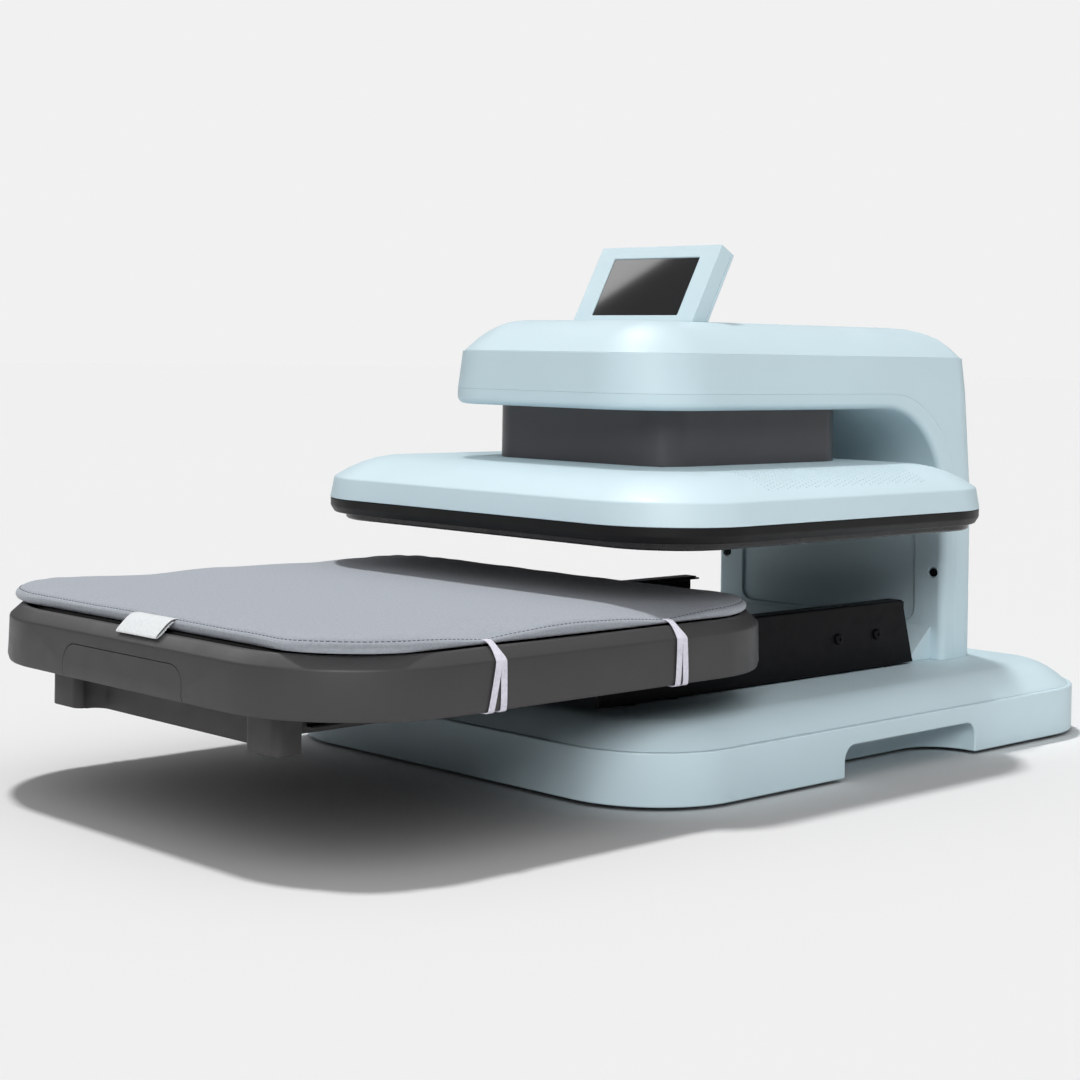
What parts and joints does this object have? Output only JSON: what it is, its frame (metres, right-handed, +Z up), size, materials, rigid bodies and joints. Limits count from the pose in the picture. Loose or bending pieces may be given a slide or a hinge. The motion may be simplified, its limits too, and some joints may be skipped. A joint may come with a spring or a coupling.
{
  "type": "heat press",
  "caption": "Motorised heat press: C-shaped column and head, heated platen that lowers on guide rods, and a pad-topped lower platen that slides out as a drawer.",
  "frame": {"origin": "on the table, under the centre of the base", "axes": "+X is the operator's right, +Y runs from the operator back to the column, +Z is up"},
  "size_m": [0.4212, 0.8256, 0.3898],
  "materials": {
    "blue_shell": "fine matt moulded plastic, pale blue",
    "button_plastic": "smooth moulded plastic, pale blue",
    "dark_shell": "fine textured plastic, warm dark grey",
    "shroud_plastic": "satin plastic, dark grey",
    "black_plastic": "matt heat-resistant plastic, black",
    "black_steel": "powder-coated steel, black",
    "bottom_paint": "painted sheet steel, light grey",
    "plate_coating": "non-stick coating on cast aluminium, black",
    "cast_aluminium": "sand-cast aluminium",
    "steel": "zinc-plated sheet steel",
    "bright_steel": "ground or drawn steel",
    "brass": "machined brass",
    "pulley_metal": "bare aluminium",
    "motor_paint": "painted steel can, black",
    "rubber": "moulded rubber or silicone foam, black",
    "pad_fabric": "brushed knit over foam, light blue-grey",
    "strap_elastic": "flat woven elastic, pale lilac-white",
    "tag_cloth": "smooth woven tape, white",
    "insulation": "ceramic fibre blanket",
    "screen_glass": "glossy black glass",
    "circuit": "printed circuit board"
  },
  "bodies": {
    "base": {"base_shell": "blue_shell", "base_cover": "blue_shell", "base_frame": "steel", "bottom_plate": "bottom_paint", "rubber_feet": "rubber", "bottom_plate_screws": "black_steel", "inner_housing": "blue_shell", "column_front_panel": "blue_shell", "housing_screws": "black_steel", "outer_housing": "blue_shell", "rear_plate": "blue_shell", "head_lid": "blue_shell", "foot_fairing": "blue_shell", "steel_spine": "steel", "mechanism_plate": "steel", "guide_rods": "bright_steel", "screw_bearing": "bright_steel", "drive_belt": "rubber", "gear_motor": "motor_paint", "power_inlet": "black_plastic", "switch_bezel": "black_plastic", "control_board": "circuit", "power_supply": "pulley_metal", "display_case": "blue_shell", "display_back": "blue_shell", "screen_glass": "screen_glass", "display_module": "circuit", "rail_right": "black_steel", "rail_left": "black_steel", "slide_outer_members": "black_steel", "rail_fasteners": "black_steel", "rail_spacers": "black_steel"},
    "platen": {"press_cover": "blue_shell", "insulating_frame": "black_plastic", "heat_plate": "plate_coating", "heating_element": "pulley_metal", "insulation_blanket": "insulation", "temperature_probe": "bright_steel", "thermal_cutout": "bright_steel", "plate_standoffs": "steel", "hanger_plate": "steel", "lift_bridge": "cast_aluminium", "guide_bushings": "bright_steel", "lead_nut": "brass", "lift_shroud": "shroud_plastic"},
    "lead_screw": {"lead_screw": "bright_steel", "screw_pulley": "pulley_metal"},
    "motor_shaft": {"motor_pulley": "pulley_metal"},
    "slide_middle": {"slide_middle_members": "black_steel"},
    "drawer": {"tray": "dark_shell", "front_grip": "dark_shell", "carriage": "dark_shell", "lower_platen": "black_steel", "foam_mat": "rubber", "fabric_pad": "pad_fabric", "pad_straps": "strap_elastic", "pad_tag": "tag_cloth", "slide_inner_members": "black_steel"},
    "power_rocker": {"power_rocker": "black_plastic"},
    "wake_button": {"wake_button": "button_plastic"}
  },
  "joints": [
    {"name": "press_slide", "type": "slide", "parent": "base", "child": "platen", "axis": [0, 0, -1], "range_m": [0, 0.033]},
    {"name": "lead_screw_spin", "type": "hinge", "parent": "base", "child": "lead_screw", "pos_m": [0, -0.056, 0.27], "axis": [0, 0, 1], "range_deg": [0, 1490]},
    {"name": "motor_spin", "type": "hinge", "parent": "base", "child": "motor_shaft", "pos_m": [0, 0.176, 0.3], "axis": [0, 0, 1], "range_deg": [0, 4710]},
    {"name": "drawer_slide", "type": "slide", "parent": "base", "child": "drawer", "axis": [0, 1, 0], "range_m": [0, 0.272]},
    {"name": "slide_middle_travel", "type": "slide", "parent": "base", "child": "slide_middle", "axis": [0, 1, 0], "range_m": [0, 0.136]},
    {"name": "power_rocker_tilt", "type": "hinge", "parent": "base", "child": "power_rocker", "pos_m": [0.058, 0.215, 0.09], "axis": [1, 0, 0], "range_deg": [0, 16]},
    {"name": "wake_button_press", "type": "slide", "parent": "base", "child": "wake_button", "axis": [0, -0.8738, 0.4863], "range_m": [0, 0.0015], "stiffness_N_per_m": 400}
  ],
  "couplings": [
    {"joint": "lead_screw_spin", "follows": "press_slide", "rad_per_m": 785.4},
    {"joint": "motor_spin", "follows": "press_slide", "rad_per_m": 2483.6},
    {"joint": "slide_middle_travel", "follows": "drawer_slide", "ratio": 0.5}
  ]
}
